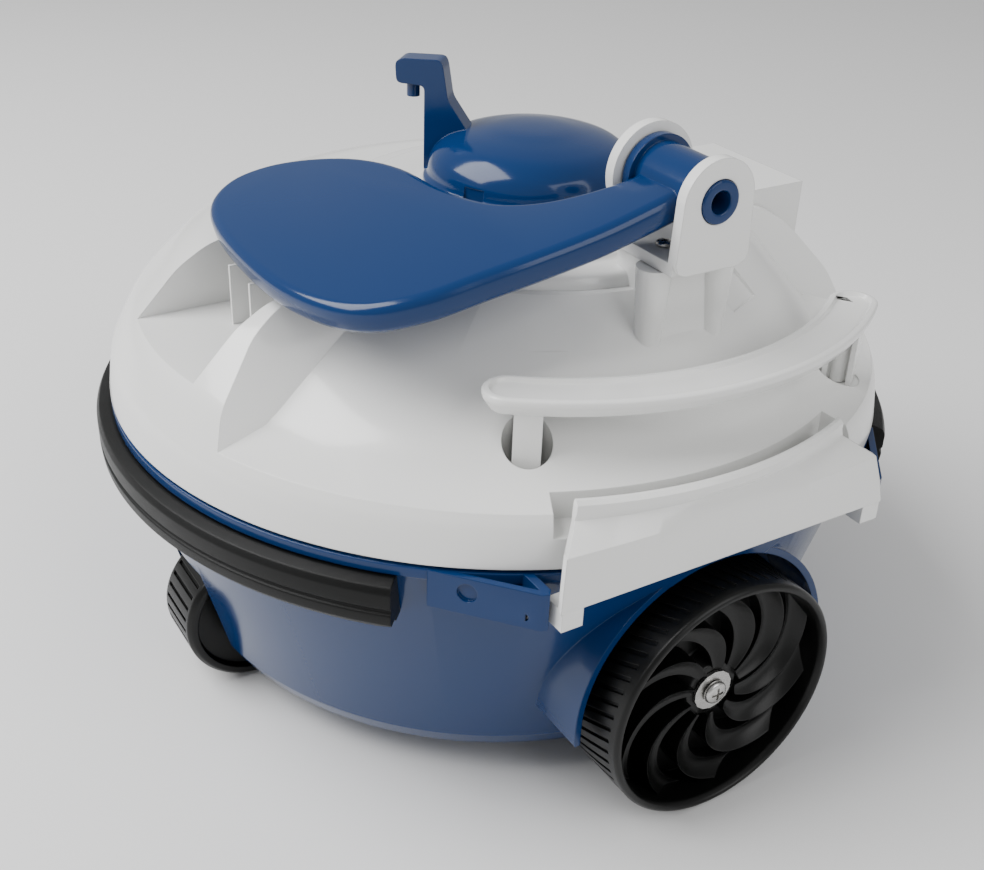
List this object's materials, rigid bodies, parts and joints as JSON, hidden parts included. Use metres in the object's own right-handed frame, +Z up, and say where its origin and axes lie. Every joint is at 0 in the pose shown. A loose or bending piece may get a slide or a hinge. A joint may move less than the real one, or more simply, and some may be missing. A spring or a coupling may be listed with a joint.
{
  "type": "pool cleaner",
  "caption": "Round cordless robotic pool cleaner with a white dome, blue hull, side wheels, end rollers, carry handle, lifting hook and a swinging steering paddle.",
  "frame": {"origin": "on the floor under the middle of the body", "axes": "+Z up, -Y towards the open scoop that the resting paddle covers, +X towards the side with the carry handle"},
  "size_m": [0.3772, 0.374, 0.269],
  "materials": {
    "white_gloss": "glossy white moulded plastic",
    "blue_gloss": "glossy royal blue moulded plastic",
    "black_rubber": "matte black rubber",
    "black_plastic": "satin black plastic",
    "grey_plastic": "matte grey plastic",
    "filter_mesh": "matte light grey plastic mesh",
    "steel": "bright stainless steel"
  },
  "bodies": {
    "housing": {"top_cover": "white_gloss", "carry_handle": "white_gloss", "paddle_bracket": "white_gloss", "hull": "blue_gloss", "paddle_pivot_tube": "blue_gloss", "bumper_front": "black_rubber", "bumper_rear": "black_rubber", "hull_gasket": "black_rubber", "cap_seal": "black_rubber", "suction_plate": "black_plastic", "charge_socket": "black_plastic", "motor_can": "black_plastic", "control_box": "black_plastic", "pump_deck": "grey_plastic", "battery_pack": "grey_plastic", "filter_basket": "filter_mesh", "wheel_axle_right": "steel", "wheel_axle_left": "steel", "wheel_washer_right": "steel", "wheel_washer_left": "steel", "wheel_screw_right": "steel", "wheel_screw_left": "steel", "roller_axle_front": "steel", "roller_axle_rear": "steel", "latch_pin_right_front": "steel", "latch_pin_right_rear": "steel", "latch_pin_left_front": "steel", "latch_pin_left_rear": "steel", "handle_screw_front": "steel", "handle_screw_rear": "steel", "bracket_screw_front": "steel", "bracket_screw_rear": "steel", "plate_screw_1": "steel", "plate_screw_2": "steel", "plate_screw_3": "steel", "plate_screw_4": "steel", "inlet_pin_front": "steel", "inlet_pin_rear": "steel"},
    "paddle_arm": {"paddle": "blue_gloss"},
    "cap_and_hook": {"hub_cap": "blue_gloss"},
    "wheel_right_body": {"wheel_right": "black_plastic"},
    "wheel_left_body": {"wheel_left": "black_plastic"},
    "roller_front_body": {"roller_front": "black_plastic"},
    "roller_rear_body": {"roller_rear": "black_plastic"},
    "latch_right_body": {"latch_right": "white_gloss"},
    "latch_left_body": {"latch_left": "white_gloss"},
    "inlet_flap_front_body": {"inlet_flap_front": "grey_plastic"},
    "inlet_flap_rear_body": {"inlet_flap_rear": "grey_plastic"},
    "pump_rotor": {"motor_shaft": "steel", "impeller": "grey_plastic"}
  },
  "joints": [
    {"name": "paddle_swing", "type": "hinge", "parent": "housing", "child": "paddle_arm", "pos_m": [0.105, 0.017, 0.248], "axis": [-1, 0, 0], "range_deg": [0, 206]},
    {"name": "cap_turn", "type": "hinge", "parent": "housing", "child": "cap_and_hook", "pos_m": [0, 0.017, 0.225], "axis": [0, 0, 1], "range_deg": [0, 30]},
    {"name": "wheel_right_spin", "type": "hinge", "parent": "housing", "child": "wheel_right_body", "pos_m": [0.17, 0, 0.0559], "axis": [1, 0, 0], "continuous": true},
    {"name": "wheel_left_spin", "type": "hinge", "parent": "housing", "child": "wheel_left_body", "pos_m": [-0.17, 0, 0.0559], "axis": [1, 0, 0], "continuous": true},
    {"name": "roller_front_spin", "type": "hinge", "parent": "housing", "child": "roller_front_body", "pos_m": [0, -0.134, 0.034], "axis": [1, 0, 0], "continuous": true},
    {"name": "roller_rear_spin", "type": "hinge", "parent": "housing", "child": "roller_rear_body", "pos_m": [0, 0.134, 0.034], "axis": [1, 0, 0], "continuous": true},
    {"name": "latch_right_open", "type": "hinge", "parent": "housing", "child": "latch_right_body", "pos_m": [0.168, 0, 0.1195], "axis": [0, 1, 0], "range_deg": [0, 50]},
    {"name": "latch_left_open", "type": "hinge", "parent": "housing", "child": "latch_left_body", "pos_m": [-0.168, 0, 0.1195], "axis": [0, -1, 0], "range_deg": [0, 50]},
    {"name": "inlet_flap_front_lift", "type": "hinge", "parent": "housing", "child": "inlet_flap_front_body", "pos_m": [0, -0.048, 0.0171], "axis": [1, 0, 0], "range_deg": [0, 65]},
    {"name": "inlet_flap_rear_lift", "type": "hinge", "parent": "housing", "child": "inlet_flap_rear_body", "pos_m": [0, 0.048, 0.0171], "axis": [-1, 0, 0], "range_deg": [0, 65]},
    {"name": "pump_spin", "type": "hinge", "parent": "housing", "child": "pump_rotor", "pos_m": [0, 0, 0.094], "axis": [0, 0, 1], "continuous": true}
  ]
}
